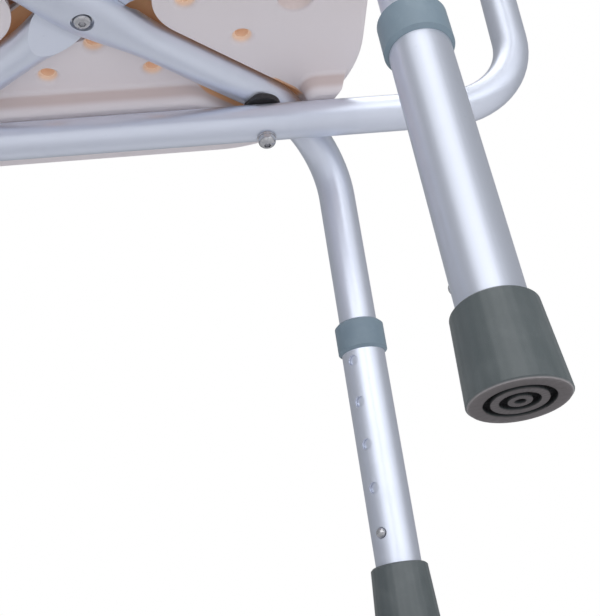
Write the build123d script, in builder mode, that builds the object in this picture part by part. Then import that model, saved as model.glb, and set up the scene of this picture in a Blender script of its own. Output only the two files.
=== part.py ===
from build123d import *

import os
from math import atan, atan2, cos, degrees, radians, sin, sqrt, tan

# Shower stool: a blow-moulded seat on two crossed leg tubes, two arm tubes that pass under the
# seat and rise into an arm on each side, and four telescoping lower legs with snap buttons.
# Millimetres. +Z is up, the floor is Z = 0 and the stool's middle is X = Y = 0.
# -Y is the front. Every height on a leg is counted along its own slanted axis.

# ---------------------------------------------------------------- driving dimensions
# Tube stock
upper_tube_od = 22.2
upper_tube_wall = 1.2
lower_tube_wall = 1.5
slide_clearance = 0.10  # radial, lower tube and collar lip over the upper tube
contact_clearance = 0.05  # radial, between pieces that only touch

# Leg frame
frame_height = 320.6  # leg tube axis under the seat, legs at their shortest
corner_x = 140.6  # where the level and the slanted axes of a leg tube meet
corner_y = 116.7
splay_x = 1.0  # degrees, sideways
splay_y = 5.7  # degrees, fore and aft
leg_bend_radius = 60.0
crossing_gap = 0.3  # between the two flattened tubes
crossing_width = 30.0  # a pressed tube spreads to this
crossing_flat = 20.0  # half the length over which it stays spread
crossing_run_out = 30.0  # length over which it comes back to round
crossing_lead = 3.0  # round length kept at each end of that
crossing_ease = 3.5  # flat length beside the other tube, at each end
crossing_slope = 18.0  # length of the slope at each end of a flattened stretch
crossing_round = 12.0
head_recess_d = 13.0
head_recess_depth = 3.6
bolt_hole_d = 6.4

# Lower legs
collar_top_above_sole = 180.2
collar_height = 19.1
collar_wall = 1.75
collar_lip = 3.0
collar_chamfer = 1.7
tip_height = 35.6
tip_wall = 3.1  # at its top
tip_flare = 2.1  # wider at the sole, each side
tip_top_chamfer = 0.9
sole_thickness = 6.0
sole_edge = 0.9
tip_washer_thickness = 1.5
tip_washer_od = 22.0
groove_depth = 2.2
groove_radii = [(9.8, 12.3), (4.1, 7.0)]
sole_centre_hole_r = 2.0

# Height holes and snap buttons
hole_count = 5
hole_pitch = 25.4
lowest_hole_above_sole = 53.2
button_facing = 40.0  # degrees from the front-to-back line, towards the stool's middle
button_d = 5.6
button_stand_out = 2.5  # beyond the lower tube
button_flange_lip = 1.0
button_flange_thickness = 0.8
button_guide_clearance = 0.10
height_hole_clearance = 0.35
tube_end_below_button = 18.0
spring_width = 6.4
spring_thickness = 0.6
spring_length = 34.0
spring_bend_radius = 3.0

# Arm tubes and grips
arm_y = 82.2
arm_gap = 1.4  # between an arm tube and the leg tubes above it
arm_x = 261.0
arm_height = 531.0
arm_lower_bend = 50.0
arm_upper_bend = 45.0
arm_joint_gap = 1.0
sleeve_length = 62.0
sleeve_wall = 1.8
pin_d = 4.0
pin_spacing = 40.0
grip_thickness = 4.9
grip_below_bend = 14.0
grip_end_round = 4.0

# Spacers and fasteners
spacer_d = 22.0
spacer_wrap = 1.1  # how far it reaches round each tube
bolt_d = 6.0
washer_od = 11.6
washer_thickness = 1.0
head_d = 10.6
centre_head_height = 3.2
arm_head_height = 5.2
head_flat_r = 2.7
head_socket = 4.0
head_socket_depth = 2.4
insert_od = 9.0
insert_cover = 2.3  # seat left above an insert
bolt_end_gap = 1.6  # between a bolt's end and its insert's

# Seat
seat_half_x = 160.0
seat_half_y = 130.0
seat_corner = 88.0
pad_above_axis = 0.5  # underside pads, above the leg tube axis
seat_thickness = 27.0  # pads to top
seat_wall = 3.0
seat_top_round = 9.0
seat_bottom_round = 3.5
sill_start_y = 69.0
sill_inset = 4.6
sill_over_arm = 0.6  # clearance above the arm tubes
sill_draft = 18.0  # sides towards the middle and the leg tubes
sill_outer_draft = 10.0
sill_tip_round = 10.5  # sharp corners beside the leg tubes
sill_shoulder_round = 25.0  # blunt corners beside the leg tubes
sill_edge_round = 3.0
sill_foot = [(2.6, 0.0), (1.2, 0.6), (0.3, 1.7), (0.0, 3.2)]  # outset, depth
sill_outer_foot = 0.2  # share of that outset on the outer side
step_overlap = 0.3  # each straight step of a curved foot or mouth runs this far past the next
channel_side_clearance = 2.5
channel_top_clearance = 2.5
channel_tip_round = 30.0
channel_edge_round = 1.2
dish_inset = 17.0
dish_depth = 1.6
drain_d = 8.0
drain_mouth_d = 13.0
drain_mouth_depth = 4.0
drain_mouth_draft = 25.0
hole_mouth = [(1.5, 0.0), (0.7, 0.3), (0.2, 0.9), (0.0, 1.7)]  # outset, depth
grip_hole_d = 20.0
rib_rows = 7
rib_pitch = 24.0
rib_length = 64.0
rib_width = 5.0
rib_height = 1.0
insert_boss_r = 7.5
# Drain holes of the rear and right-hand pads; the front and left-hand pads repeat them turned
# half a turn about the stool's middle.
rear_drains = [(-26.0, 55.0), (35.0, 55.0), (3.0, 31.0)]
side_drains = [(88.0, 32.5), (56.5, 0.5), (88.0, -31.0)]
side_grip_hole = (118.0, 4.0)

# ---------------------------------------------------------------- worked-out values
upper_r = upper_tube_od / 2
upper_bore_r = upper_r - upper_tube_wall
lower_bore_r = upper_r + slide_clearance
lower_r = lower_bore_r + lower_tube_wall
lower_tube_od = 2 * lower_r
collar_od = lower_tube_od + 2 * collar_wall
tip_top_od = lower_tube_od + 2 * tip_wall
tip_sole_od = tip_top_od + 2 * tip_flare
button_flange_d = button_d + 2 * button_flange_lip
grip_od = upper_tube_od + 2 * grip_thickness
arm_drop = upper_tube_od + arm_gap
arm_z = frame_height - arm_drop
corner_reach = sqrt(corner_x**2 + corner_y**2)
crossing_x = arm_y * corner_x / corner_y  # where an arm tube passes under a leg tube
pad_z = frame_height + pad_above_axis
seat_top_z = pad_z + seat_thickness
sill_z = arm_z + upper_r + sill_over_arm
channel_half = upper_r + channel_side_clearance
channel_top_z = frame_height + upper_r + channel_top_clearance
insert_length = seat_top_z - dish_depth - channel_top_z - insert_cover
bolt_in_insert = insert_length - bolt_end_gap
down = Vector(tan(radians(splay_x)), tan(radians(splay_y)), -1).normalized()
leg_to_floor = frame_height / -down.Z  # from the corner to the floor, along the leg
button_reach = leg_to_floor - lowest_hole_above_sole
upper_end_reach = button_reach + tube_end_below_button
collar_top_reach = leg_to_floor - collar_top_above_sole
lower_top_reach = collar_top_reach + collar_lip
lower_end_reach = leg_to_floor - sole_thickness - tip_washer_thickness
button_base_x = sqrt(upper_bore_r**2 - (button_flange_d / 2) ** 2) - button_flange_thickness - 0.1
spring_near_x = button_base_x - contact_clearance - spring_thickness / 2
spring_far_x = sqrt(upper_bore_r**2 - (spring_width / 2) ** 2) - contact_clearance - spring_thickness / 2

# Leg corners: name, side in X, side in Y
legs = [
    ("front_left", -1, -1),
    ("front_right", 1, -1),
    ("rear_left", -1, 1),
    ("rear_right", 1, 1),
]


def leg_plane(side_x, side_y):
    """The plane across a leg at its corner: local Z runs down the leg, local X to the button."""
    corner = (side_x * corner_x, side_y * corner_y, frame_height)
    axis = (side_x * down.X, side_y * down.Y, down.Z)
    facing = radians(button_facing)
    inward = (-side_x * sin(facing), -side_y * cos(facing), 0)
    across = Vector(*inward) - Vector(*axis) * Vector(*inward).dot(Vector(*axis))
    return Plane(origin=corner, x_dir=across, z_dir=axis)


def leg_point(side_x, side_y, reach):
    """A point on a leg's axis, reach millimetres down from its corner."""
    return leg_plane(side_x, side_y).from_local_coords(Vector(0, 0, reach))


def rod(points, radii, radius):
    """A solid round rod of one radius along straight runs joined by tangent arcs."""
    with BuildPart() as bar:
        with BuildLine() as route:
            FilletPolyline(*points, radius=radii)
        with BuildSketch(Plane(origin=route.line @ 0, z_dir=route.line % 0)):
            Circle(radius)
        sweep()
    return bar.part


def level_run(side_y):
    """The direction of the level run of the leg tube that goes to the right-hand leg."""
    return Vector(corner_x, side_y * corner_y, 0).normalized()


def leg_rod(side_y, radius):
    """A solid leg tube of one radius, spread wider where it crosses the other tube."""
    along = level_run(side_y)
    spread = crossing_width / 2 - (upper_r - radius)
    round_at = crossing_flat + crossing_run_out
    middle = Vector(0, 0, frame_height)
    with BuildPart() as bar:
        for side in (1, -1):
            with BuildLine() as route:
                FilletPolyline(
                    leg_point(side, side * side_y, upper_end_reach),
                    (side * corner_x, side * side_y * corner_y, frame_height),
                    middle + along * side * round_at,
                    radius=[leg_bend_radius],
                )
            with BuildSketch(Plane(origin=route.line @ 0, z_dir=route.line % 0)):
                Circle(radius)
            sweep()
        across = Vector(0, 0, 1).cross(along)
        for place, wide in (
            (-round_at, radius),
            (crossing_lead - round_at, radius),
            (-crossing_flat, spread),
            (crossing_flat, spread),
            (round_at - crossing_lead, radius),
            (round_at, radius),
        ):
            with BuildSketch(Plane(origin=middle + along * place, x_dir=across, z_dir=along)):
                if wide > radius:
                    Ellipse(wide, radius)
                else:
                    Circle(radius)
        loft()
    return bar.part


def arm_tube_points(side_y, inner_y):
    """Axis of an arm tube: down from the joint on one arm, under the seat, up to the other."""
    return [
        (-arm_x, side_y * inner_y, arm_height),
        (-arm_x, side_y * arm_y, arm_height),
        (-arm_x, side_y * arm_y, arm_z),
        (arm_x, side_y * arm_y, arm_z),
        (arm_x, side_y * arm_y, arm_height),
        (arm_x, side_y * inner_y, arm_height),
    ]


def finish_piece(piece, name):
    """Label a finished piece and write it."""
    piece.label = name
    export_step(piece, f"parts/{name}.step")


os.makedirs("parts", exist_ok=True)
crossings = [(sx * crossing_x, sy * arm_y) for _, sx, sy in legs]
bolt_places = [(0.0, 0.0)] + crossings
arm_radii = [arm_upper_bend, arm_lower_bend, arm_lower_bend, arm_upper_bend]

# ---------------------------------------------------------------- leg tubes
# Each tube is pressed half flat where the two cross, the lower one on top, the upper one below,
# so that both axes stay at one level.


def flat_spot(side_y, level, grow):
    """The space pressed out of a tube where the other tube lies across it.

    level is +1 for the lower tube (space above) and -1 for the upper tube (space below); grow
    widens the space by a wall.
    """
    other = level_run(-side_y)
    across = Vector(0, 0, 1).cross(other)
    flat = crossing_width / 2 + crossing_gap + crossing_ease + grow
    floor = -level * (crossing_gap / 2 + grow)
    rim = level * (upper_r + 1.0)
    with BuildPart() as space:
        with BuildSketch(Plane(origin=(0, 0, frame_height), x_dir=across, z_dir=other)):
            with BuildLine():
                Polyline(
                    (-flat, floor),
                    (flat, floor),
                    (flat + crossing_slope, rim),
                    (-flat - crossing_slope, rim),
                    close=True,
                )
            make_face()
            fillet(vertices().group_by(Axis.Y)[0 if level > 0 else -1], crossing_round)
        extrude(amount=2 * upper_tube_od, both=True)
    return space.part


def head_recess(grow):
    """The dimple for the crossing bolt's head in the underside of the lower tube."""
    with BuildPart() as dimple:
        with BuildSketch(Plane.XY.offset(frame_height - upper_r - grow)):
            Circle(head_recess_d / 2 + grow)
        extrude(amount=head_recess_depth + 2 * grow)
    return dimple.part


def leg_tube(side_y, level):
    """One bent leg tube with its flattened crossing and its bolt and button holes."""
    bore = leg_rod(side_y, upper_bore_r) - flat_spot(side_y, level, upper_tube_wall)
    if level > 0:
        bore = bore - head_recess(upper_tube_wall)
    with BuildPart() as tube:
        add(leg_rod(side_y, upper_r))
        add(flat_spot(side_y, level, 0.0), mode=Mode.SUBTRACT)
        add(bore, mode=Mode.SUBTRACT)
        with BuildSketch(Plane.XY.offset(frame_height - tube_hole_reach)):
            with Locations(*bolt_places):
                Circle(bolt_hole_d / 2)
        extrude(amount=2 * tube_hole_reach, mode=Mode.SUBTRACT)
        if level > 0:
            add(head_recess(0.0), mode=Mode.SUBTRACT)
        for side in (1, -1):
            seat_plane = leg_plane(side, side * side_y)
            hole_axis = Plane(
                origin=seat_plane.from_local_coords(Vector(0, 0, button_reach)),
                x_dir=seat_plane.z_dir,
                z_dir=seat_plane.x_dir,
            )
            with BuildSketch(hole_axis):
                Circle(button_d / 2 + button_guide_clearance)
            extrude(amount=upper_tube_od, mode=Mode.SUBTRACT)
    return tube.part


tube_hole_reach = upper_r + 1.0
finish_piece(leg_tube(1, 1), "leg_tube_lower")
finish_piece(leg_tube(-1, -1), "leg_tube_upper")

# ---------------------------------------------------------------- arm tubes and grips
for name, side_y in (("arm_tube_front", -1), ("arm_tube_rear", 1)):
    arm_points = arm_tube_points(side_y, arm_joint_gap / 2)
    with BuildPart() as arm_tube:
        add(rod(arm_points, arm_radii, upper_r))
        add(rod(arm_points, arm_radii, upper_bore_r), mode=Mode.SUBTRACT)
        with BuildSketch(Plane.XY.offset(arm_z - tube_hole_reach)):
            with Locations((crossing_x, side_y * arm_y), (-crossing_x, side_y * arm_y)):
                Circle(bolt_hole_d / 2)
        extrude(amount=2 * tube_hole_reach, mode=Mode.SUBTRACT)
        with BuildSketch(Plane.XY.offset(arm_height - tube_hole_reach)):
            with Locations((arm_x, side_y * pin_spacing / 2), (-arm_x, side_y * pin_spacing / 2)):
                Circle(pin_d / 2 + contact_clearance)
        extrude(amount=2 * tube_hole_reach, mode=Mode.SUBTRACT)
    finish_piece(arm_tube.part, name)

sleeve_r = upper_bore_r - slide_clearance
for name, side_x in (("left", -1), ("right", 1)):
    with BuildPart() as arm_sleeve:
        with BuildSketch(Plane(origin=(side_x * arm_x, -sleeve_length / 2, arm_height), z_dir=(0, 1, 0))):
            Circle(sleeve_r)
            Circle(sleeve_r - sleeve_wall, mode=Mode.SUBTRACT)
        extrude(amount=sleeve_length)
        with BuildSketch(Plane.XY.offset(arm_height - upper_r)):
            with Locations((side_x * arm_x, pin_spacing / 2), (side_x * arm_x, -pin_spacing / 2)):
                Circle(pin_d / 2 + contact_clearance)
        extrude(amount=upper_tube_od, mode=Mode.SUBTRACT)
    finish_piece(arm_sleeve.part, f"arm_sleeve_{name}")

    grip_end_z = arm_height - arm_upper_bend - grip_below_bend
    grip_points = [
        (side_x * arm_x, -arm_y, grip_end_z),
        (side_x * arm_x, -arm_y, arm_height),
        (side_x * arm_x, arm_y, arm_height),
        (side_x * arm_x, arm_y, grip_end_z),
    ]
    grip_radii = [arm_upper_bend, arm_upper_bend]
    with BuildPart() as arm_grip:
        add(rod(grip_points, grip_radii, grip_od / 2))
        fillet(arm_grip.edges().filter_by(GeomType.CIRCLE).group_by(Axis.Z)[0], grip_end_round)
        add(rod(grip_points, grip_radii, upper_r + contact_clearance), mode=Mode.SUBTRACT)
    finish_piece(arm_grip.part, f"arm_grip_{name}")

with BuildPart() as sleeve_pins:
    with BuildSketch(Plane.XY.offset(arm_height - upper_r + 0.3)):
        with GridLocations(2 * arm_x, pin_spacing, 2, 2):
            Circle(pin_d / 2)
    extrude(amount=upper_tube_od - 0.6)
finish_piece(sleeve_pins.part, "arm_sleeve_pins")

# ---------------------------------------------------------------- spacers between the tubes
with BuildPart() as spacers:
    with BuildSketch(Plane.XY.offset(arm_z + upper_r - spacer_wrap)):
        with Locations(*crossings):
            Circle(spacer_d / 2)
            Circle(bolt_hole_d / 2, mode=Mode.SUBTRACT)
    extrude(amount=arm_drop - upper_tube_od + 2 * spacer_wrap)
    for side_y in (1, -1):
        add(leg_rod(side_y, upper_r + contact_clearance), mode=Mode.SUBTRACT)
        under = [(-arm_x, side_y * arm_y, arm_z), (0, side_y * arm_y, arm_z), (arm_x, side_y * arm_y, arm_z)]
        with BuildSketch(Plane(origin=under[0], z_dir=(1, 0, 0))):
            Circle(upper_r + contact_clearance)
        extrude(amount=2 * arm_x, mode=Mode.SUBTRACT)
finish_piece(spacers.part, "saddle_spacers")

# ---------------------------------------------------------------- bolts, washers, inserts


def bolt(head_z, head_height, top_z):
    """A domed socket bolt standing on its head: head_z is the level the head bears on."""
    with BuildPart() as screw:
        with BuildSketch(Plane.XZ):
            with BuildLine():
                Polyline(
                    (0, head_z - head_height),
                    (0, top_z),
                    (bolt_d / 2 - 0.6, top_z),
                    (bolt_d / 2, top_z - 0.6),
                    (bolt_d / 2, head_z),
                    (head_d / 2, head_z),
                    (head_d / 2, head_z - head_height * 0.35),
                )
                ThreePointArc(
                    (head_d / 2, head_z - head_height * 0.35),
                    (head_d * 0.42, head_z - head_height * 0.8),
                    (head_flat_r, head_z - head_height),
                )
                Line((head_flat_r, head_z - head_height), (0, head_z - head_height))
            make_face()
        revolve(axis=Axis.Z)
        with BuildSketch(Plane.XY.offset(head_z - head_height)):
            RegularPolygon(head_socket / 2, 6, major_radius=False)
        extrude(amount=head_socket_depth, mode=Mode.SUBTRACT)
    return screw.part


centre_bearing_z = frame_height - upper_r + head_recess_depth
arm_bearing_z = arm_z - upper_r
bolt_top_z = channel_top_z + bolt_in_insert
centre_bolt = bolt(centre_bearing_z - washer_thickness, centre_head_height, bolt_top_z)
finish_piece(centre_bolt, "crossing_bolt")

arm_bolt = bolt(arm_bearing_z - washer_thickness, arm_head_height, bolt_top_z)
with BuildPart() as arm_bolts:
    with Locations(*crossings):
        add(arm_bolt)
finish_piece(arm_bolts.part, "arm_bolts")

with BuildPart() as crossing_washer:
    with BuildSketch(Plane.XY.offset(centre_bearing_z - washer_thickness)):
        Circle(washer_od / 2)
        Circle(bolt_hole_d / 2, mode=Mode.SUBTRACT)
    extrude(amount=washer_thickness)
finish_piece(crossing_washer.part, "crossing_washer")

with BuildPart() as arm_washers:
    with BuildSketch(Plane.XY.offset(arm_bearing_z - washer_thickness)):
        with Locations(*crossings):
            Circle(washer_od / 2)
            Circle(bolt_hole_d / 2, mode=Mode.SUBTRACT)
    extrude(amount=washer_thickness)
finish_piece(arm_washers.part, "arm_bolt_washers")

with BuildPart() as inserts:
    with BuildSketch(Plane.XY.offset(channel_top_z)):
        with Locations(*bolt_places):
            Circle(insert_od / 2)
            Circle(bolt_d / 2 + contact_clearance, mode=Mode.SUBTRACT)
    extrude(amount=insert_length)
finish_piece(inserts.part, "seat_inserts")

# ---------------------------------------------------------------- lower legs
for name, side_x, side_y in legs:
    at_corner = leg_plane(side_x, side_y)
    sole_centre = leg_point(side_x, side_y, leg_to_floor)

    # Lower tube with its row of height holes
    with BuildPart() as lower_tube:
        with BuildSketch(at_corner.offset(lower_top_reach)):
            Circle(lower_r)
            Circle(lower_bore_r, mode=Mode.SUBTRACT)
        extrude(amount=lower_end_reach - lower_top_reach)
        row_middle = button_reach - hole_pitch * (hole_count - 1) / 2
        hole_face = Plane(
            origin=at_corner.from_local_coords(Vector(0, 0, row_middle)),
            x_dir=at_corner.z_dir,
            z_dir=at_corner.x_dir,
        )
        with BuildSketch(hole_face):
            with GridLocations(hole_pitch, 0, hole_count, 1):
                Circle(button_d / 2 + height_hole_clearance)
        extrude(amount=lower_tube_od, mode=Mode.SUBTRACT)
    finish_piece(lower_tube.part, f"lower_leg_{name}")

    # Collar: holds the lower tube's top end and guides the upper tube in its lip
    with BuildPart() as collar:
        with BuildSketch(at_corner.offset(collar_top_reach)):
            Circle(collar_od / 2)
        extrude(amount=collar_height)
        chamfer(collar.edges(), collar_chamfer)
        with BuildSketch(at_corner.offset(collar_top_reach)):
            Circle(upper_r + slide_clearance)
        extrude(amount=collar_height, mode=Mode.SUBTRACT)
        with BuildSketch(at_corner.offset(lower_top_reach)):
            Circle(lower_r + contact_clearance)
        extrude(amount=collar_height, mode=Mode.SUBTRACT)
    finish_piece(collar.part, f"leg_collar_{name}")

    # Rubber tip: a flared cup along the leg, its sole cut level with the floor
    tip_top_reach = leg_to_floor - tip_height
    run_out = 4.0
    flare = (tip_sole_od - tip_top_od) / 2 / tip_height
    with BuildPart() as tip:
        with BuildSketch(at_corner.offset(tip_top_reach)):
            Circle(tip_top_od / 2)
        with BuildSketch(at_corner.offset(leg_to_floor + run_out)):
            Circle(tip_sole_od / 2 + flare * run_out)
        loft()
        chamfer(tip.edges().group_by(Axis.Z)[-1], tip_top_chamfer)
        split(bisect_by=Plane.XY, keep=Keep.TOP)
        chamfer(tip.edges().group_by(Axis.Z)[0], sole_edge)
        with BuildSketch(at_corner.offset(tip_top_reach)):
            Circle(lower_r + contact_clearance)
        extrude(amount=tip_height - sole_thickness, mode=Mode.SUBTRACT)
        with BuildSketch(Plane.XY):
            with Locations((sole_centre.X, sole_centre.Y)):
                for inner_r, outer_r in groove_radii:
                    Circle(outer_r)
                    Circle(inner_r, mode=Mode.SUBTRACT)
                Circle(sole_centre_hole_r)
        extrude(amount=groove_depth, mode=Mode.SUBTRACT)
    finish_piece(tip.part, f"rubber_tip_{name}")

    # Steel washer that keeps the tube end from cutting through the sole
    with BuildPart() as tip_washer:
        with BuildSketch(at_corner.offset(lower_end_reach)):
            Circle(tip_washer_od / 2)
        extrude(amount=tip_washer_thickness)
    finish_piece(tip_washer.part, f"tip_washer_{name}")

    # Snap button: a domed stud on a flange inside the upper tube
    button_axis = Plane(
        origin=at_corner.from_local_coords(Vector(0, 0, button_reach)),
        x_dir=at_corner.z_dir,
        z_dir=at_corner.x_dir,
    )
    button_tip = lower_r + button_stand_out
    dome = button_d / 2
    with BuildPart() as button:
        with BuildSketch(button_axis.offset(button_base_x)):
            Circle(button_flange_d / 2)
        extrude(amount=button_flange_thickness)
        with BuildSketch(button_axis.offset(button_base_x)):
            Circle(button_d / 2)
        extrude(amount=button_tip - button_base_x)
        fillet(button.edges().sort_by(Axis(button_axis.origin, button_axis.z_dir))[-1], dome * 0.85)
    finish_piece(button.part, f"snap_button_{name}")

    # Spring: a strip bent to a V inside the upper tube, the button resting on one leg
    side_plane = Plane(origin=button_axis.origin, x_dir=at_corner.x_dir, z_dir=at_corner.y_dir)
    up_sign = -1 if side_plane.y_dir.dot(at_corner.z_dir) > 0 else 1
    bend_x = spring_bend_radius + 0.4
    low = -up_sign * button_flange_d * 0.6
    high = up_sign * button_flange_d * 0.6
    with BuildPart() as spring:
        with BuildSketch(side_plane):
            with BuildLine():
                FilletPolyline(
                    (spring_near_x, low),
                    (spring_near_x, high),
                    (bend_x, up_sign * spring_length),
                    (-bend_x, up_sign * spring_length),
                    (-spring_far_x, high),
                    (-spring_far_x, low),
                    radius=[8.0, spring_bend_radius, spring_bend_radius, 8.0],
                )
            trace(line_width=spring_thickness)
        extrude(amount=spring_width / 2, both=True)
    finish_piece(spring.part, f"snap_spring_{name}")

# ---------------------------------------------------------------- seat


def seat_outline(inset):
    """The seat's outline, moved in by inset."""
    RectangleRounded(2 * (seat_half_x - inset), 2 * (seat_half_y - inset), seat_corner - inset)


def channel(side_y, grow):
    """The way for one leg tube through the seat's underside, widened by grow."""
    along = Vector(corner_x, side_y * corner_y, 0).normalized()
    section = Plane(origin=(0, 0, frame_height), x_dir=along, z_dir=along.cross(Vector(0, 0, 1)))
    leg_turn = down.get_angle(along) if side_y > 0 else down.get_angle(Vector(along.X, -along.Y, 0))
    tangent = corner_reach - leg_bend_radius * tan(radians(leg_turn) / 2)
    top = channel_top_z - frame_height + grow
    arc_r = leg_bend_radius + top
    low = -leg_bend_radius * 0.45
    arc_end = tangent + sqrt(arc_r**2 - (leg_bend_radius + low) ** 2)
    arc_mid = tangent + arc_r * sin(radians(25))
    arc_mid_z = arc_r * cos(radians(25)) - leg_bend_radius
    with BuildPart() as way:
        with BuildSketch(section):
            with BuildLine():
                Line((-tangent, top), (tangent, top))
                ThreePointArc((tangent, top), (arc_mid, arc_mid_z), (arc_end, low))
                Line((arc_end, low), (-arc_end, low))
                ThreePointArc((-arc_end, low), (-arc_mid, arc_mid_z), (-tangent, top))
            make_face()
        extrude(amount=channel_half + grow, both=True)
    return way.part


def straight_steps(profile):
    """A curved foot or mouth as straight steps: the outset at its level, depth and lean of each."""
    steps = []
    for (outset, start), (next_outset, depth) in zip(profile, profile[1:]):
        lean = (outset - next_outset) / (depth - start)
        steps.append((outset + lean * start, depth + step_overlap, lean))
    return steps


def leaning(draft, lean):
    """A draft in degrees, with more lean."""
    return degrees(atan(tan(radians(draft)) + lean))


def sill_plan(grow):
    """The plan of the bars under the front and rear edges, rounded beside the leg tubes."""
    bar_depth = seat_half_y + 10 - sill_start_y
    turn = degrees(atan2(corner_y, corner_x))
    with BuildSketch(Plane.XY.offset(pad_z)) as plan:
        with GridLocations(0, 2 * sill_start_y + bar_depth, 1, 2):
            Rectangle(2 * seat_half_x + 20, bar_depth)
        Rectangle(4 * seat_half_x, 2 * channel_half, rotation=turn, mode=Mode.SUBTRACT)
        Rectangle(4 * seat_half_x, 2 * channel_half, rotation=-turn, mode=Mode.SUBTRACT)
        tips = plan.vertices().filter_by(lambda v: abs(abs(v.Y) - sill_start_y) < 0.01)
        fillet(tips.filter_by(lambda v: abs(v.X) > sill_start_y * corner_x / corner_y), sill_tip_round)
        tips = plan.vertices().filter_by(lambda v: abs(abs(v.Y) - sill_start_y) < 0.01)
        fillet(tips.filter_by(lambda v: abs(v.X) < sill_start_y * corner_x / corner_y), sill_shoulder_round)
        if grow > 0:
            offset(amount=grow)
    return plan.sketch


def sill_slab(grow, depth, lean):
    """A slab under the front and rear edges: widened by grow at the pads, leaning in by lean."""
    with BuildPart() as bars:
        with BuildSketch(Plane.XY.offset(pad_z)):
            add(sill_plan(grow))
        extrude(amount=-depth, taper=leaning(sill_draft, lean))
        with BuildSketch(Plane.XY.offset(pad_z)):
            seat_outline(sill_inset - sill_outer_foot * grow)
        outer = leaning(sill_outer_draft, sill_outer_foot * lean)
        extrude(amount=-depth, taper=outer, mode=Mode.INTERSECT)
    return bars.part


drains = rear_drains + side_drains
drains = drains + [(-x, -y) for x, y in drains]
grip_holes = [side_grip_hole, (-side_grip_hole[0], -side_grip_hole[1])]
both_channels = channel(1, 0.0) + channel(-1, 0.0)
grown_channels = channel(1, seat_wall) + channel(-1, seat_wall)

with BuildPart() as cavity:
    with BuildSketch(Plane.XY.offset(pad_z + seat_wall)):
        seat_outline(seat_wall + 1.0)
    extrude(amount=seat_thickness - 2 * seat_wall - dish_depth)
    add(grown_channels, mode=Mode.SUBTRACT)
    with BuildSketch(Plane.XY.offset(pad_z)):
        with Locations(*drains):
            Circle(drain_mouth_d / 2 + seat_wall)
        with Locations(*grip_holes):
            Circle(grip_hole_d / 2 + seat_wall)
        with Locations(*bolt_places):
            Circle(insert_boss_r)
    extrude(amount=seat_thickness, mode=Mode.SUBTRACT)

with BuildPart() as seat:
    with BuildSketch(Plane.XY.offset(pad_z)):
        seat_outline(0.0)
    extrude(amount=seat_thickness)
    fillet(seat.edges().group_by(Axis.Z)[-1], seat_top_round)
    fillet(seat.edges().group_by(Axis.Z)[0], seat_bottom_round)
    add(sill_slab(0.0, pad_z - sill_z, 0.0))
    fillet(seat.edges().group_by(Axis.Z)[0], sill_edge_round)
    for outset, depth, lean in straight_steps(sill_foot):
        add(sill_slab(outset, depth, lean))
    add(both_channels, mode=Mode.SUBTRACT)
    tips = seat.edges().filter_by(Axis.Z)
    tips = tips.filter_by(lambda e: sqrt(e.center().X ** 2 + e.center().Y ** 2) < 3 * channel_half)
    fillet(tips, channel_tip_round)
    with BuildSketch(Plane.XY.offset(seat_top_z)):
        seat_outline(dish_inset)
    extrude(amount=-dish_depth, taper=45, mode=Mode.SUBTRACT)
    with BuildSketch(Plane.XY.offset(seat_top_z - dish_depth)):
        with GridLocations(2 * rib_length, rib_pitch, 2, rib_rows):
            SlotOverall(rib_length, rib_width)
    extrude(amount=rib_height, taper=30)
    add(cavity.part, mode=Mode.SUBTRACT)
    with BuildSketch(Plane.XY.offset(sill_z)):
        with Locations(*drains):
            Circle(drain_d / 2)
    extrude(amount=2 * seat_thickness, mode=Mode.SUBTRACT)
    with BuildSketch(Plane.XY.offset(pad_z)):
        with Locations(*drains):
            Circle(drain_mouth_d / 2)
    extrude(amount=drain_mouth_depth, taper=drain_mouth_draft, mode=Mode.SUBTRACT)
    with BuildSketch(Plane.XY.offset(pad_z)):
        with Locations(*grip_holes):
            Circle(grip_hole_d / 2)
    extrude(amount=seat_thickness, mode=Mode.SUBTRACT)
    for outset, depth, lean in straight_steps(hole_mouth):
        with BuildSketch(Plane.XY.offset(pad_z)):
            with Locations(*drains):
                Circle(drain_mouth_d / 2 + outset)
        extrude(amount=depth, taper=leaning(drain_mouth_draft, lean), mode=Mode.SUBTRACT)
        with BuildSketch(Plane.XY.offset(pad_z)):
            with Locations(*grip_holes):
                Circle(grip_hole_d / 2 + outset)
        extrude(amount=depth, taper=leaning(0.0, lean), mode=Mode.SUBTRACT)
    with BuildSketch(Plane.XY.offset(frame_height + upper_r)):
        with Locations(*bolt_places):
            Circle(insert_od / 2 + contact_clearance)
    extrude(amount=channel_top_clearance + insert_length, mode=Mode.SUBTRACT)
finish_piece(seat.part, "seat")
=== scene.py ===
"""Finishes, light and camera for a shower stool with arms and telescoping legs.

Everything is in metres, with +Z up, the floor at Z = 0 and the front towards -Y.
"""

import logging
import math
from dataclasses import dataclass, field
from enum import Enum
from typing import Any, Optional, Union

import bpy
from mathutils import Matrix, Vector

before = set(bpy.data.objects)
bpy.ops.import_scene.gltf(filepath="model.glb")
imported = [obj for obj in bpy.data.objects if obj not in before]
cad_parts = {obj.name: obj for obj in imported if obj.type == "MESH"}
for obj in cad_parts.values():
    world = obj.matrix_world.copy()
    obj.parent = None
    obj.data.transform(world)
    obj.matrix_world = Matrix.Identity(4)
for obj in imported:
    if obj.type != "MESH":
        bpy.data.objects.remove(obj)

log = logging.getLogger("shower_stool")
Triple = tuple[float, float, float]
Value = Union["Signal", float, int]


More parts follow.
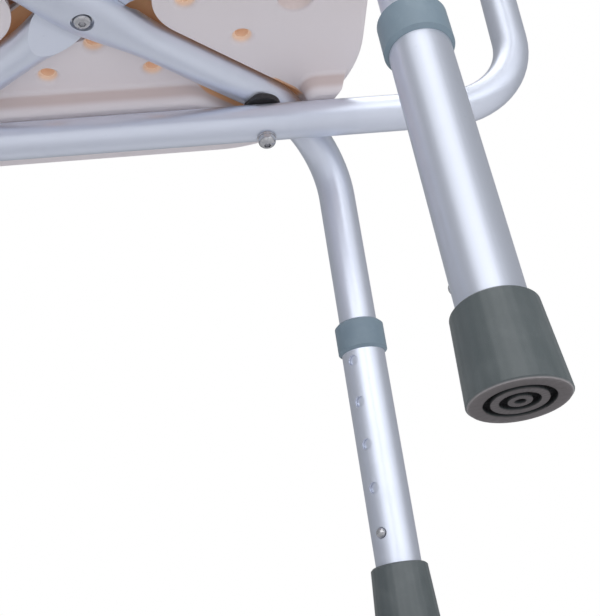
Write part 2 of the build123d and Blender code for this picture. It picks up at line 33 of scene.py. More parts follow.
class Shade(Enum):
    """The plain colours that the finishes start from, as linear red, green and blue."""

    ALUMINIUM = (0.70, 0.735, 0.83)
    ALUMINIUM_DULL = (0.60, 0.635, 0.73)
    CREAM = (0.79, 0.735, 0.755)
    CREAM_SHADE = (0.50, 0.36, 0.32)
    # Painted light: orange standing in for light glowing through the plastic in the leg-tube
    # channels; this colour also tints the cream's random tone.
    CREAM_TONE_AND_PAINTED_GLOW = (0.62, 0.34, 0.17)
    # Painted light: tan standing in for light glowing through the plastic round the drain and grip
    # holes.
    HOLE_PAINTED_GLOW = (0.86, 0.66, 0.50)
    UNLIT = (0.0, 0.0, 0.0)
    # Painted glow: emission colour for the seat's channels and holes, which are no lamp.
    GLOW = (0.85, 0.42, 0.20)
    COLLAR = (0.175, 0.235, 0.285)
    COLLAR_WORN = (0.26, 0.33, 0.38)
    RUBBER = (0.064, 0.078, 0.081)
    RUBBER_PALE = (0.128, 0.142, 0.147)
    SOLE = (0.34, 0.315, 0.32)
    # Painted shade: near-black for the recessed sole grooves of the tips.
    GROOVE_PAINTED_SHADE = (0.012, 0.012, 0.013)
    BLACK = (0.018, 0.018, 0.02)
    STEEL = (0.58, 0.58, 0.60)
    STEEL_DULL = (0.22, 0.215, 0.215)
    BRASS = (0.70, 0.50, 0.22)
    GRIP = (0.030, 0.034, 0.038)
    GRIP_PALE = (0.075, 0.08, 0.085)
    FLOOR = (0.88, 0.88, 0.89)


MIX_FACTOR = 0
MIX_VECTOR_A, MIX_VECTOR_B = 4, 5
MIX_COLOUR_A, MIX_COLOUR_B = 6, 7


class Outlet(Enum):
    """The numbers of the output sockets that are read by number."""

    OBJECT_POINT = 3
    VECTOR_NUMBER = 1
    MIXED_VECTOR = 1
    MIXED_COLOUR = 2


class Lay(Enum):
    """Which way the drawn lines of a tube run."""

    SIDEWAYS = "x"
    LEG = "leg"
    CROSSED = "crossed"


class Signal:
    """One output socket of a material, with Python's arithmetic on it."""

    def __init__(self, sheet: "NodeSheet", socket: bpy.types.NodeSocket) -> None:
        """Keep the socket and the sheet it is on.

        Args:
            sheet: the node sheet that new nodes go to.
            socket: the output socket that carries the value.
        """
        self.sheet = sheet
        self.socket = socket

    def _math(self, operation: str, first: Value, second: Optional[Value] = None) -> "Signal":
        """Add one Math node.

        Args:
            operation: the Math node's operation.
            first: its first value or link.
            second: its second value or link, if it has one.

        Returns:
            The node's result.
        """
        sockets: dict[Any, Any] = {0: first}
        if second is not None:
            sockets[1] = second
        return self.sheet.add("ShaderNodeMath", {"operation": operation}, sockets)

    def __add__(self, other: Value) -> "Signal":
        """Sum of this value and another."""
        return self._math("ADD", self, other)

    __radd__ = __add__

    def __sub__(self, other: Value) -> "Signal":
        """This value less another."""
        return self._math("SUBTRACT", self, other)

    def __rsub__(self, other: Value) -> "Signal":
        """Another value less this one."""
        return self._math("SUBTRACT", other, self)

    def __mul__(self, other: Value) -> "Signal":
        """Product of this value and another."""
        return self._math("MULTIPLY", self, other)

    __rmul__ = __mul__

    def __abs__(self) -> "Signal":
        """This value without its sign."""
        return self._math("ABSOLUTE", self)

    def least(self, other: Value) -> "Signal":
        """The smaller of two values."""
        return self._math("MINIMUM", self, other)

    def most(self, other: Value) -> "Signal":
        """The larger of two values."""
        return self._math("MAXIMUM", self, other)

    def sine(self) -> "Signal":
        """The sine of this value, in radians."""
        return self._math("SINE", self)

    def angle_with(self, other: Value) -> "Signal":
        """The angle whose sine side is this value and cosine side the other."""
        return self._math("ARCTAN2", self, other)

    def ramp(self, low: float, high: float) -> "Signal":
        """Turn this value into a smooth step.

        Args:
            low: where the step is 0.
            high: where the step is 1; it may be below low.

        Returns:
            The step, from 0 to 1.
        """
        settings = {"interpolation_type": "SMOOTHSTEP"}
        if low < high:
            return self.sheet.add("ShaderNodeMapRange", settings, {0: self, 1: low, 2: high})
        return 1 - self.sheet.add("ShaderNodeMapRange", settings, {0: self, 1: high, 2: low})


class Place:
    """A point or direction that changes over a surface."""

    def __init__(self, sheet: "NodeSheet", socket: bpy.types.NodeSocket) -> None:
        """Keep the socket and the sheet it is on.

        Args:
            sheet: the node sheet that new nodes go to.
            socket: the output socket that carries the vector.
        """
        self.sheet = sheet
        self.socket = socket

    def _vector(self, operation: str, other: Any = None) -> "Place":
        """Add one Vector Math node with a vector result.

        Args:
            operation: the Vector Math node's operation.
            other: its second vector or link, if it has one.

        Returns:
            The node's vector.
        """
        sockets: dict[Any, Any] = {0: self}
        if other is not None:
            sockets[1] = other
        settings = {"operation": operation}
        return self.sheet.add("ShaderNodeVectorMath", settings, sockets, result=Place)

    def __sub__(self, other: Any) -> "Place":
        """Difference of two vectors."""
        return self._vector("SUBTRACT", other)

    def __mul__(self, other: Any) -> "Place":
        """Product of two vectors, side by side."""
        return self._vector("MULTIPLY", other)

    def folded(self) -> "Place":
        """This point moved to where every coordinate is positive."""
        return self._vector("ABSOLUTE")

    def along(self, direction: Vector) -> Signal:
        """How far this point lies along a direction."""
        settings = {"operation": "DOT_PRODUCT"}
        sockets = {0: self, 1: tuple(direction)}
        return self.sheet.add("ShaderNodeVectorMath", settings, sockets, Outlet.VECTOR_NUMBER)

    def stretched(self, factor: Signal) -> "Place":
        """This vector times a changing number."""
        sockets = {0: self, "Scale": factor}
        return self.sheet.add("ShaderNodeVectorMath", {"operation": "SCALE"}, sockets, result=Place)

    def length(self) -> Signal:
        """The length of this vector."""
        settings = {"operation": "LENGTH"}
        return self.sheet.add("ShaderNodeVectorMath", settings, {0: self}, Outlet.VECTOR_NUMBER)

    def parts(self) -> tuple[Signal, Signal, Signal]:
        """The three coordinates on their own."""
        node = self.sheet.make("ShaderNodeSeparateXYZ", {}, {0: self})
        x, y, z = (Signal(self.sheet, node.outputs[i]) for i in range(3))
        return x, y, z


class NodeSheet:
    """The nodes of one material."""

    def __init__(self, name: str) -> None:
        """Start an empty material.

        Args:
            name: the material's name.
        """
        self.material = bpy.data.materials.new(name)
        self.material.use_nodes = True
        self.tree = self.material.node_tree
        self.tree.nodes.clear()
        self._object: Optional[Place] = None

    def make(self, kind: str, settings: dict[str, Any], sockets: dict[Any, Any]) -> bpy.types.Node:
        """Add a node of any type.

        Args:
            kind: the node's type.
            settings: its settings, set before its sockets.
            sockets: a value or a link for each socket, by number or name.

        Returns:
            The node.
        """
        node = self.tree.nodes.new(kind)
        for key, value in settings.items():
            setattr(node, key, value)
        for key, value in sockets.items():
            if isinstance(value, (Signal, Place, Tint)):
                self.tree.links.new(value.socket, node.inputs[key])
            else:
                node.inputs[key].default_value = value
        return node

    def add(
        self,
        kind: str,
        settings: dict[str, Any],
        sockets: dict[Any, Any],
        outlet: Optional[Outlet] = None,
        result: Any = Signal,
    ) -> Any:
        """Add a node and take one of its outputs.

        Args:
            kind: the node's type.
            settings: its settings.
            sockets: a value or a link for each socket, by number or name.
            outlet: the output to take, or the first one.
            result: the class that wraps the output.

        Returns:
            The wrapped output.
        """
        node = self.make(kind, settings, sockets)
        return result(self, node.outputs[outlet.value if outlet else 0])

    def here(self) -> Place:
        """The point on the surface, at rest, in the stool's own frame."""
        if self._object is None:
            self._object = self.add("ShaderNodeTexCoord", {}, {}, Outlet.OBJECT_POINT, Place)
        return self._object

    def noise(self, place: Place, scale: float, detail: float = 2.0, rough: float = 0.5) -> Signal:
        """Cloudy noise from 0 to 1.

        Args:
            place: where the noise is read.
            scale: how many clouds there are in a metre.
            detail: how many finer layers there are.
            rough: how strong the finer layers are.

        Returns:
            The noise.
        """
        sockets = {"Vector": place, "Scale": scale, "Detail": detail, "Roughness": rough}
        return self.add("ShaderNodeTexNoise", {}, sockets)

    def cells(self, place: Place, scale: float) -> Signal:
        """Distance to the nearest of many scattered points."""
        return self.add("ShaderNodeTexVoronoi", {}, {"Vector": place, "Scale": scale})

    def blend(self, factor: Value, first: Any, second: Any) -> "Tint":
        """Mix two colours.

        Args:
            factor: how much of the second there is.
            first: the first colour or link.
            second: the second colour or link.

        Returns:
            The mixed colour.
        """
        pair = [c if isinstance(c, Tint) else (*c.value, 1.0) for c in (first, second)]
        sockets = {MIX_FACTOR: factor, MIX_COLOUR_A: pair[0], MIX_COLOUR_B: pair[1]}
        return self.add("ShaderNodeMix", {"data_type": "RGBA"}, sockets, Outlet.MIXED_COLOUR, Tint)

    def bump(self, height: Signal, depth: float, under: Optional[Place] = None) -> Place:
        """Raise the surface by a height.

        Args:
            height: the height, from 0 to 1.
            depth: how deep it is, in metres.
            under: a bump that this one lies on.

        Returns:
            The bumped normal.
        """
        sockets: dict[Any, Any] = {"Strength": 1.0, "Distance": depth, "Height": height}
        if under is not None:
            sockets["Normal"] = under
        return self.add("ShaderNodeBump", {}, sockets, result=Place)

    def finish(self, sockets: dict[str, Any]) -> bpy.types.Material:
        """Close the material with one surface shader.

        Args:
            sockets: a value or a link for each of the shader's sockets.

        Returns:
            The material.
        """
        surface = self.make("ShaderNodeBsdfPrincipled", {}, sockets)
        output = self.make("ShaderNodeOutputMaterial", {}, {})
        self.tree.links.new(surface.outputs[0], output.inputs[0])
        return self.material


class Tint:
    """A colour that changes over a surface."""

    def __init__(self, sheet: NodeSheet, socket: bpy.types.NodeSocket) -> None:
        """Keep the socket and the sheet it is on.

        Args:
            sheet: the node sheet that new nodes go to.
            socket: the output socket that carries the colour.
        """
        self.sheet = sheet
        self.socket = socket


@dataclass(frozen=True)
class LegLine:
    """The line of a leg, with the stool folded so that all four legs lie on it."""

    corner: Triple = (0.1406, 0.1167, 0.3206)
    sideways: float = math.radians(1.0)
    outward: float = math.radians(5.7)

    def direction(self) -> Vector:
        """The direction down the leg."""
        return Vector((math.tan(self.sideways), math.tan(self.outward), -1.0)).normalized()

    def across(self, sheet: NodeSheet) -> tuple[Signal, Place]:
        """Split a surface point into its height on the leg and its place across it.

        Args:
            sheet: the material's sheet.

        Returns:
            The distance down from the corner and the offset from the leg's line.
        """
        offset = sheet.here().folded() - self.corner
        down = offset.along(self.direction())
        steps = dict(enumerate(self.direction()))
        line = sheet.add("ShaderNodeCombineXYZ", {}, steps, result=Place)
        return down, offset - line.stretched(down)


LEG_LINE = LegLine()


@dataclass(frozen=True)
class AnodisedTube:
    """Satin anodised tube with faint drawn lines, soft stains and a few rubbed spots."""

    lay: Lay
    rough: float = 0.36
    metallic: float = 0.88
    line_scale: float = 1500.0
    blast_scale: float = 5200.0
    cloud_scale: float = 26.0
    rub_scale: float = 90.0
    grain_depth: float = 0.00002
    squeeze: float = 0.02
    crossed_squeeze: Triple = (0.5, 0.5, 0.2)
    arm_turn_start: float = 0.235
    arm_turn_end: float = 0.25

    def _lined(self, sheet: NodeSheet) -> Place:
        """Squeeze the surface along the tube, so that noise on it runs out into lines."""
        if self.lay is Lay.SIDEWAYS:
            x, _, _ = sheet.here().parts()
            upright = abs(x).ramp(self.arm_turn_start, self.arm_turn_end)
            level = sheet.here() * (self.squeeze, 1.0, 1.0)
            standing = sheet.here() * (1.0, 1.0, self.squeeze)
            settings = {"data_type": "VECTOR"}
            sockets = {MIX_FACTOR: upright, MIX_VECTOR_A: level, MIX_VECTOR_B: standing}
            return sheet.add("ShaderNodeMix", settings, sockets, Outlet.MIXED_VECTOR, Place)
        if self.lay is Lay.LEG:
            _, across = LEG_LINE.across(sheet)
            return across
        return sheet.here() * self.crossed_squeeze

    def build(self, name: str) -> bpy.types.Material:
        """Make the material.

        Args:
            name: the material's name.

        Returns:
            The material.
        """
        sheet = NodeSheet(name)
        lines = sheet.noise(self._lined(sheet), self.line_scale, 3.0, 0.6)
        blast = sheet.noise(sheet.here(), self.blast_scale, 2.0, 0.7)
        clouds = sheet.noise(sheet.here(), self.cloud_scale, 4.0, 0.55)
        rubbed = sheet.cells(sheet.here(), self.rub_scale).ramp(0.10, 0.02)
        dull = clouds.ramp(0.45, 0.75) * 0.35 + rubbed * 0.25
        colour = sheet.blend(dull, Shade.ALUMINIUM, Shade.ALUMINIUM_DULL)
        rough = self.rough + (lines - 0.5) * 0.10 + (clouds - 0.5) * 0.10 + rubbed * 0.06
        grain = lines * 0.4 + blast * 0.6
        return sheet.finish(
            {
                "Base Color": colour,
                "Metallic": self.metallic,
                "Roughness": rough,
                "Normal": sheet.bump(grain, self.grain_depth),
            }
        )


@dataclass(frozen=True)
class MouldedSeat:
    """Cream blow-moulded plastic with painted light: an orange glow, partly emitted, in the
    leg-tube channels and round the drain and grip holes, and a painted shade band on the sill wall.
    """

    pad_height: float = 0.3211
    sill_start: float = 0.069
    sill_depth: float = 0.0105
    seat_top: float = 0.3481
    channel_half: float = 0.0136
    channel_end: float = 0.159
    rounding: float = 0.0012
    heading: float = math.atan2(0.1167, 0.1406)
    drains: tuple[tuple[float, float], ...] = (
        (-0.026, 0.055),
        (0.035, 0.055),
        (0.003, 0.031),
        (0.088, 0.0325),
        (0.0565, 0.0005),
        (0.088, -0.031),
    )
    grip_hole: tuple[float, float] = (0.118, 0.004)
    drain_mouth: float = 0.0065
    grip_mouth: float = 0.010
    mottle_scale: float = 38.0
    tone_scale: float = 9.0
    leather_scale: float = 2600.0
    leather_depth: float = 0.00005
    sag_scale: float = 16.0
    sag_depth: float = 0.0012
    rough: float = 0.44
    shine: float = 0.35
    glow: float = 0.09

    def _near_holes(self, sheet: NodeSheet, flat: Place) -> Signal:
        """How deep inside a drain or grip hole the surface is.

        Args:
            sheet: the material's sheet; not used.
            flat: the surface point with no height.

        Returns:
            1 at the middle of a hole, 0 outside all of them.
        """
        inside: Optional[Signal] = None
        holes = [(x, y, self.drain_mouth) for x, y in self.drains]
        holes.append((*self.grip_hole, self.grip_mouth))
        for x, y, radius in holes:
            for side in (1, -1):
                gap = (flat - (side * x, side * y, 0.0)).length()
                one = gap.ramp(radius + 0.0008, radius - 0.0022)
                inside = one if inside is None else inside.most(one)
        return inside

    def _in_channels(self, x: Signal, y: Signal, z: Signal) -> Signal:
        """How far up inside a leg tube's way the surface is."""
        across_x, across_y = math.sin(self.heading), math.cos(self.heading)
        one = abs(x * across_x + y * across_y)
        other = abs(x * across_x - y * across_y)
        edge = self.channel_half + self.rounding
        along = abs(x) * across_y + abs(y) * across_x
        inside = one.least(other).ramp(edge + 0.0006, edge)
        inside = inside * along.ramp(self.channel_end, self.channel_end - 0.004)
        above = z.ramp(self.pad_height + 0.0004, self.pad_height + 0.004)
        on_sill = abs(y).ramp(self.sill_start, self.sill_start + 0.003)
        sill_wall = z.ramp(self.pad_height - 0.012, self.pad_height - 0.008)
        return inside * above.most(on_sill * sill_wall)

    def build(self, name: str) -> bpy.types.Material:
        """Make the material.

        Args:
            name: the material's name.

        Returns:
            The material.
        """
        sheet = NodeSheet(name)
        here = sheet.here()
        x, y, z = here.parts()
        below = z.ramp(self.seat_top - 0.003, self.seat_top - 0.012)
        inside = z.ramp(self.pad_height + 0.0003, self.pad_height + 0.003)
        holes = self._near_holes(sheet, here * (1.0, 1.0, 0.0)) * inside
        mottle = sheet.noise(here, self.mottle_scale, 4.0, 0.6)
        # Painted light: orange glow in the leg-tube channels and on the sill wall beside them.
        painted_channel_glow = self._in_channels(x, y, z) * below * (0.78 + mottle * 0.22)
        # Painted light: tan glow round the drain and grip holes.
        painted_hole_glow = holes * below * (0.80 + mottle * 0.20)
        tone = sheet.noise(here, self.tone_scale, 3.0, 0.5)
        pale = sheet.blend(tone.ramp(0.35, 0.8) * 0.045, Shade.CREAM, Shade.CREAM_TONE_AND_PAINTED_GLOW)
        below_pads = z.ramp(self.pad_height - 0.0004, self.pad_height - 0.003)
        above_sole = z.ramp(self.pad_height - self.sill_depth, self.pad_height - 0.006)
        shaded = sheet.blend(below_pads * above_sole * 0.55, pale, Shade.CREAM_SHADE)
        # Painted light: the hole glow and then the channel glow are laid over the cream.
        drilled = sheet.blend(painted_hole_glow, shaded, Shade.HOLE_PAINTED_GLOW)
        colour = sheet.blend(painted_channel_glow, drilled, Shade.CREAM_TONE_AND_PAINTED_GLOW)
        leather = sheet.noise(here, self.leather_scale, 2.0, 0.6)
        sag = sheet.noise(here, self.sag_scale, 2.0, 0.4)
        rough = self.rough + (leather - 0.5) * 0.12 + (tone - 0.5) * 0.08
        normal = sheet.bump(leather, self.leather_depth, sheet.bump(sag, self.sag_depth))
        return sheet.finish(
            {
                "Base Color": colour,
                "Roughness": rough,
                "Normal": normal,
                "Specular IOR Level": self.shine,
                # Painted glow: a little orange emission in the channels and round the holes, though
                # the seat is no lamp.
                "Emission Color": sheet.blend(painted_channel_glow.most(painted_hole_glow), Shade.UNLIT, Shade.GLOW),
                "Emission Strength": self.glow,
            }
        )


@dataclass(frozen=True)
class CollarPlastic:
    """Grey-blue moulded plastic with pale scuffs."""

    rough: float = 0.42
    shine: float = 0.45
    cloud_scale: float = 120.0
    grain_scale: float = 3800.0
    grain_depth: float = 0.00003
    scuff_scale: float = 420.0
    scuff_squeeze: Triple = (1.0, 1.0, 6.0)

    def build(self, name: str) -> bpy.types.Material:
        """Make the material.

        Args:
            name: the material's name.

        Returns:
            The material.
        """
        sheet = NodeSheet(name)
        cloud = sheet.noise(sheet.here(), self.cloud_scale, 4.0, 0.6)
        grain = sheet.noise(sheet.here(), self.grain_scale, 2.0, 0.6)
        scuff = sheet.noise(sheet.here() * self.scuff_squeeze, self.scuff_scale, 3.0, 0.7)
        scuff = scuff.ramp(0.60, 0.72)
        worn = cloud.ramp(0.4, 0.8) * 0.3 + scuff * 0.25
        return sheet.finish(
            {
                "Base Color": sheet.blend(worn, Shade.COLLAR, Shade.COLLAR_WORN),
                "Roughness": self.rough + (cloud - 0.5) * 0.14 + scuff * 0.08,
                "Normal": sheet.bump(grain, self.grain_depth),
                "Specular IOR Level": self.shine,
            }
        )


@dataclass(frozen=True)
class TipRubber:
    """Grey-green rubber with faint moulded facets down its side, each painted a little paler across
    its middle as a sheen, and painted shade in the sole grooves.
    """

    facets: int = 28
    facet_depth: float = 0.00006
    grain_scale: float = 3000.0
    grain_depth: float = 0.00005
    cloud_scale: float = 70.0
    dust_scale: float = 900.0
    groove_reach: float = 0.0135
    groove_top: float = 0.004
    rough: float = 0.33
    shine: float = 0.75

    def build(self, name: str) -> bpy.types.Material:
        """Make the material.

        Args:
            name: the material's name.

        Returns:
            The material.
        """
        sheet = NodeSheet(name)
        _, across = LEG_LINE.across(sheet)
        across_x, across_y, _ = across.parts()
        _, _, z = sheet.here().parts()
        facet = (across_y.angle_with(across_x) * self.facets).sine() * 0.5 + 0.5
        cloud = sheet.noise(sheet.here(), self.cloud_scale, 4.0, 0.6)
        grain = sheet.noise(sheet.here(), self.grain_scale, 3.0, 0.65)
        dust = sheet.noise(sheet.here(), self.dust_scale, 3.0, 0.7).ramp(0.55, 0.75)
        height = z.ramp(0.0004, 0.0012) * z.ramp(self.groove_top, self.groove_top - 0.001)
        # Painted shade: the recessed sole grooves are painted near-black.
        painted_groove_shade = across.length().ramp(self.groove_reach, self.groove_reach - 0.0007) * height
        sole = z.ramp(0.0006, 0.0001)
        # The facet term paints each facet a little paler across its middle, a painted sheen; the
        # cloud and dust terms are random tone and dust.
        worn = cloud.ramp(0.4, 0.8) * 0.35 + dust * 0.15 + facet * 0.06
        side = sheet.blend(worn, Shade.RUBBER, Shade.RUBBER_PALE)
        ground = sheet.blend(sole * (0.75 + cloud * 0.25), side, Shade.SOLE)
        colour = sheet.blend(painted_groove_shade, ground, Shade.GROOVE_PAINTED_SHADE)
        normal = sheet.bump(grain, self.grain_depth, sheet.bump(facet, self.facet_depth))
        return sheet.finish(
            {
                "Base Color": colour,
                "Roughness": self.rough + (cloud - 0.5) * 0.12 + dust * 0.10,
                "Normal": normal,
                "Specular IOR Level": self.shine,
            }
        )


@dataclass(frozen=True)
class PlainMetal:
    """Turned or plated metal with fine machining marks and a little tarnish."""

    clean: Shade
    dull: Shade
    rough: float
    mark_scale: float = 1600.0
    mark_squeeze: Triple = (1.0, 1.0, 8.0)
    mark_depth: float = 0.00002
    tarnish_scale: float = 260.0

    def build(self, name: str) -> bpy.types.Material:
        """Make the material.

        Args:
            name: the material's name.

        Returns:
            The material.
        """
        sheet = NodeSheet(name)
        turned = sheet.noise(sheet.here() * self.mark_squeeze, self.mark_scale, 2.0, 0.6)
        tarnish = sheet.noise(sheet.here(), self.tarnish_scale, 4.0, 0.65)
        colour = sheet.blend(tarnish.ramp(0.5, 0.8) * 0.45, self.clean, self.dull)
        return sheet.finish(
            {
                "Base Color": colour,
                "Metallic": 1.0,
                "Roughness": self.rough + (turned - 0.5) * 0.10 + (tarnish - 0.5) * 0.14,
                "Normal": sheet.bump(turned, self.mark_depth),
            }
        )


@dataclass(frozen=True)
class BlackPlastic:
    """Black moulded plastic, slightly dusty."""

    rough: float = 0.48
    dust_scale: float = 600.0
    grain_scale: float = 3600.0
    grain_depth: float = 0.00004

    def build(self, name: str) -> bpy.types.Material:
        """Make the material.

        Args:
            name: the material's name.

        Returns:
            The material.
        """
        sheet = NodeSheet(name)
        dust = sheet.noise(sheet.here(), self.dust_scale, 4.0, 0.65)
        grain = sheet.noise(sheet.here(), self.grain_scale, 2.0, 0.6)
        colour = sheet.blend(dust.ramp(0.5, 0.8) * 0.3, Shade.BLACK, Shade.GRIP_PALE)
        return sheet.finish(
            {
                "Base Color": colour,
                "Roughness": self.rough + (dust - 0.5) * 0.2,
                "Normal": sheet.bump(grain, self.grain_depth),
            }
        )


@dataclass(frozen=True)
class GripVinyl:
    """Dark soft vinyl of the arm grips, with a pebbled skin and faint rings."""

    ring_pitch: float = 0.0042
    ring_depth: float = 0.0005
    ring_half: float = 0.040
    ring_height: float = 0.512
    pebble_scale: float = 1500.0
    pebble_depth: float = 0.00008
    cloud_scale: float = 60.0
    rough: float = 0.56
    shine: float = 0.4

    def build(self, name: str) -> bpy.types.Material:
        """Make the material.

        Args:
            name: the material's name.

        Returns:
            The material.
        """
        sheet = NodeSheet(name)
        here = sheet.here()
        _, y, z = here.parts()
        pebble = sheet.cells(here, self.pebble_scale)
        cloud = sheet.noise(here, self.cloud_scale, 4.0, 0.6)
        ring = (y * (math.tau / self.ring_pitch)).sine().ramp(0.4, 0.9)
        level = abs(y).ramp(self.ring_half, self.ring_half - 0.006)
        band = ring * level * z.ramp(self.ring_height, self.ring_height + 0.004)
        worn = cloud.ramp(0.45, 0.8) * 0.35 + pebble.ramp(0.3, 0.6) * 0.12
        colour = sheet.blend(worn, Shade.GRIP, Shade.GRIP_PALE)
        normal = sheet.bump(pebble, self.pebble_depth, sheet.bump(1 - band, self.ring_depth))
        return sheet.finish(
            {
                "Base Color": colour,
                "Roughness": self.rough + (cloud - 0.5) * 0.14,
                "Normal": normal,
                "Specular IOR Level": self.shine,
            }
        )


@dataclass
class Wardrobe:
    """All the finishes, made once each and handed out by name."""

    made: dict[str, bpy.types.Material] = field(default_factory=dict)
    finishes: dict[str, Any] = field(
        default_factory=lambda: {
            "anodised_arm": AnodisedTube(Lay.SIDEWAYS),
            "anodised_upper_leg": AnodisedTube(Lay.CROSSED),
            "anodised_lower_leg": AnodisedTube(Lay.LEG, rough=0.33),
            "moulded_seat": MouldedSeat(),
            "collar_plastic": CollarPlastic(),
            "tip_rubber": TipRubber(),
            "bright_steel": PlainMetal(Shade.STEEL, Shade.STEEL_DULL, 0.16),
            "spring_steel": PlainMetal(Shade.STEEL_DULL, Shade.STEEL, 0.38),
            "turned_brass": PlainMetal(Shade.BRASS, Shade.STEEL_DULL, 0.32),
            "black_plastic": BlackPlastic(),
            "grip_vinyl": GripVinyl(),
        }
    )

    def dress(self, node: str, finish: str) -> None:
        """Give a CAD node its finish.

        Args:
            node: the CAD node.
            finish: the finish's name.
        """
        if finish not in self.made:
            self.made[finish] = self.finishes[finish].build(finish)
        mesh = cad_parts[node].data
        if not mesh.materials:
            mesh.materials.append(None)
        for index in range(len(mesh.materials)):
            mesh.materials[index] = self.made[finish]
        log.info("%s: %s", node, finish)


@dataclass
class SeatAssembly:
    """The seat, its inserts and what fastens it."""

    wardrobe: Wardrobe
    finishes: dict[str, str] = field(
        default_factory=lambda: {
            "seat": "moulded_seat",
            "seat_inserts": "turned_brass",
            "crossing_bolt": "bright_steel",
            "crossing_washer": "bright_steel",
            "arm_bolts": "bright_steel",
            "arm_bolt_washers": "bright_steel",
            "saddle_spacers": "black_plastic",
        }
    )

    def build(self) -> None:
        """Dress every piece."""
        for node, finish in self.finishes.items():
            self.wardrobe.dress(node, finish)


@dataclass
class TubeFrame:
    """The crossed leg tubes, the arm tubes and the grips."""

    wardrobe: Wardrobe

    def build(self) -> None:
        """Dress every piece."""
        for node in ("leg_tube_lower", "leg_tube_upper"):
            self.wardrobe.dress(node, "anodised_upper_leg")
        for node in ("arm_tube_front", "arm_tube_rear"):
            self.wardrobe.dress(node, "anodised_arm")
        for side in ("left", "right"):
            self.wardrobe.dress(f"arm_sleeve_{side}", "anodised_arm")
            self.wardrobe.dress(f"arm_grip_{side}", "grip_vinyl")
        self.wardrobe.dress("arm_sleeve_pins", "spring_steel")


@dataclass
class LowerLeg:
    """One telescoping lower leg with its collar, tip, snap button and spring."""

    wardrobe: Wardrobe
    corner: str

    def build(self) -> None:
        """Dress every piece."""
        for node, finish in (
            ("lower_leg", "anodised_lower_leg"),
            ("leg_collar", "collar_plastic"),
            ("rubber_tip", "tip_rubber"),
            ("tip_washer", "spring_steel"),
            ("snap_button", "bright_steel"),
            ("snap_spring", "spring_steel"),
        ):
            self.wardrobe.dress(f"{node}_{self.corner}", finish)


@dataclass(frozen=True)
class Panel:
    """One square soft light: where it hangs, what it points at, its side and its watts."""

    name: str
    place: Triple
    target: Triple
    size: float
    power: float

    def hang(self) -> None:
        """Add the light to the scene."""
        data = bpy.data.lights.new(self.name, "AREA")
        data.shape, data.size, data.energy = "SQUARE", self.size, self.power
        lamp = bpy.data.objects.new(self.name, data)
        lamp.location = self.place
        aim = Vector(self.target) - Vector(self.place)
        lamp.rotation_euler = aim.to_track_quat("-Z", "Y").to_euler()
        lamp.visible_camera = False
        bpy.context.scene.collection.objects.link(lamp)


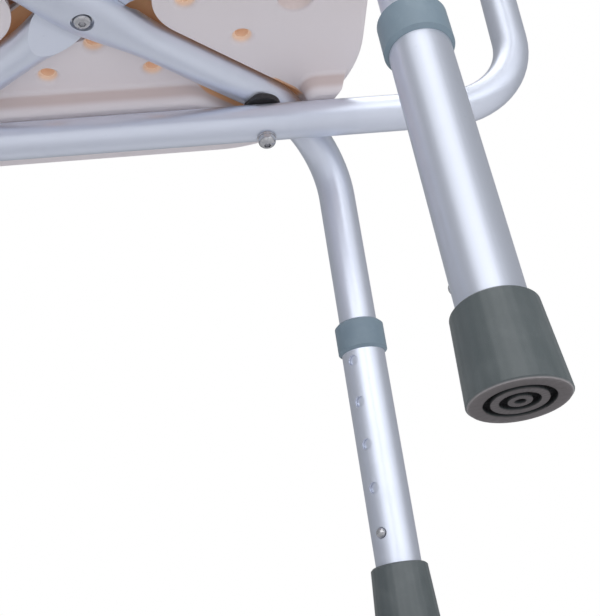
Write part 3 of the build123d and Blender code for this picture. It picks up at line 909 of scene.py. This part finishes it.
@dataclass
class Studio:
    """The floor, the lights, the surroundings and the camera."""

    eye: Triple = (0.0422, -0.4988, -0.1502)
    right: Triple = (0.9916, -0.0393, -0.1229)
    down: Triple = (-0.0886, 0.4854, -0.8698)
    ahead: Triple = (0.0938, 0.8734, 0.4779)
    lens: float = 70.32
    sensor: float = 36.0
    nearest: float = 0.01
    furthest: float = 50.0
    floor_half: float = 4.0
    floor_drop: float = 0.0003
    brightest: Triple = (0.08, -0.84, -0.50)
    full_glow_at: float = 0.98
    least_glow: float = 0.35
    most_glow: float = 1.80
    room: tuple[float, ...] = (0.95, 0.97, 1.0, 1.0)
    seen_room: tuple[float, ...] = (1.0, 1.0, 1.0, 1.0)
    panels: tuple[Panel, ...] = (
        Panel("overhead", (0.2, -0.3, 1.9), (0.0, 0.0, 0.3), 1.4, 11.0),
        Panel("front_low", (0.55, -1.35, -0.65), (0.05, 0.0, 0.2), 1.7, 4.0),
        Panel("front_high", (-0.12, -1.50, 1.30), (0.05, 0.0, 0.2), 2.0, 6.5),
    )

    def build(self) -> None:
        """Set up everything round the stool."""
        self._floor()
        self._surroundings()
        for panel in self.panels:
            panel.hang()
        self._camera()
        scene = bpy.context.scene
        scene.view_settings.view_transform = "Standard"
        scene.view_settings.look = "None"

    def _floor(self) -> None:
        """Lay a pale floor that can be looked through from below."""
        size = self.floor_half
        mesh = bpy.data.meshes.new("floor")
        corners = [(-size, -size), (size, -size), (size, size), (-size, size)]
        mesh.from_pydata([(x, y, -self.floor_drop) for x, y in corners], [], [(0, 1, 2, 3)])
        floor = bpy.data.objects.new("floor", mesh)
        bpy.context.scene.collection.objects.link(floor)
        floor.visible_shadow = False
        sheet = NodeSheet("pale_floor")
        cloud = sheet.noise(sheet.here(), 3.0, 3.0, 0.5)
        colour = sheet.blend(cloud * 0.1, Shade.FLOOR, Shade.CREAM)
        sockets = {"Base Color": colour, "Roughness": 0.7 + cloud * 0.1}
        surface = sheet.make("ShaderNodeBsdfPrincipled", {}, sockets)
        clear = sheet.make("ShaderNodeBsdfTransparent", {}, {})
        under = sheet.make("ShaderNodeNewGeometry", {}, {})
        mix = sheet.make("ShaderNodeMixShader", {}, {})
        output = sheet.make("ShaderNodeOutputMaterial", {}, {})
        links = sheet.tree.links
        links.new(under.outputs["Backfacing"], mix.inputs[0])
        links.new(surface.outputs[0], mix.inputs[1])
        links.new(clear.outputs[0], mix.inputs[2])
        links.new(mix.outputs[0], output.inputs[0])
        mesh.materials.append(sheet.material)

    def _surroundings(self) -> None:
        """Put the stool in a white room that is brightest in front and below."""
        world = bpy.data.worlds.new("studio")
        world.use_nodes = True
        bpy.context.scene.world = world
        tree = world.node_tree
        tree.nodes.clear()
        new, link = tree.nodes.new, tree.links.new
        place = new("ShaderNodeTexCoord")
        dot = new("ShaderNodeVectorMath")
        dot.operation = "DOT_PRODUCT"
        dot.inputs[1].default_value = Vector(self.brightest).normalized()
        ramp = new("ShaderNodeMapRange")
        ramp.interpolation_type = "SMOOTHSTEP"
        for index, value in enumerate((0.0, self.full_glow_at, self.least_glow, self.most_glow), 1):
            ramp.inputs[index].default_value = value
        glow = new("ShaderNodeBackground")
        glow.inputs[0].default_value = self.room
        white = new("ShaderNodeBackground")
        white.inputs[0].default_value = self.seen_room
        white.inputs[1].default_value = 1.0
        ray = new("ShaderNodeLightPath")
        mix = new("ShaderNodeMixShader")
        output = new("ShaderNodeOutputWorld")
        link(place.outputs["Generated"], dot.inputs[0])
        link(dot.outputs["Value"], ramp.inputs[0])
        link(ramp.outputs[0], glow.inputs[1])
        link(ray.outputs["Is Camera Ray"], mix.inputs[0])
        link(glow.outputs[0], mix.inputs[1])
        link(white.outputs[0], mix.inputs[2])
        link(mix.outputs[0], output.inputs[0])

    def _camera(self) -> None:
        """Place the camera low in front, looking up."""
        data = bpy.data.cameras.new("camera")
        data.lens, data.sensor_width, data.sensor_fit = self.lens, self.sensor, "AUTO"
        data.clip_start, data.clip_end = self.nearest, self.furthest
        camera = bpy.data.objects.new("camera", data)
        turn = Matrix((self.right, [-v for v in self.down], [-v for v in self.ahead])).transposed()
        camera.matrix_world = Matrix.Translation(self.eye) @ turn.to_4x4()
        bpy.context.scene.collection.objects.link(camera)
        bpy.context.scene.camera = camera


def main() -> None:
    """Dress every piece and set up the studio."""
    logging.basicConfig(level=logging.INFO, format="%(message)s")
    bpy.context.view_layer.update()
    wardrobe = Wardrobe()
    SeatAssembly(wardrobe).build()
    TubeFrame(wardrobe).build()
    for corner in ("front_left", "front_right", "rear_left", "rear_right"):
        LowerLeg(wardrobe, corner).build()
    Studio().build()
    bpy.context.view_layer.update()


if __name__ == "__main__":
    main()
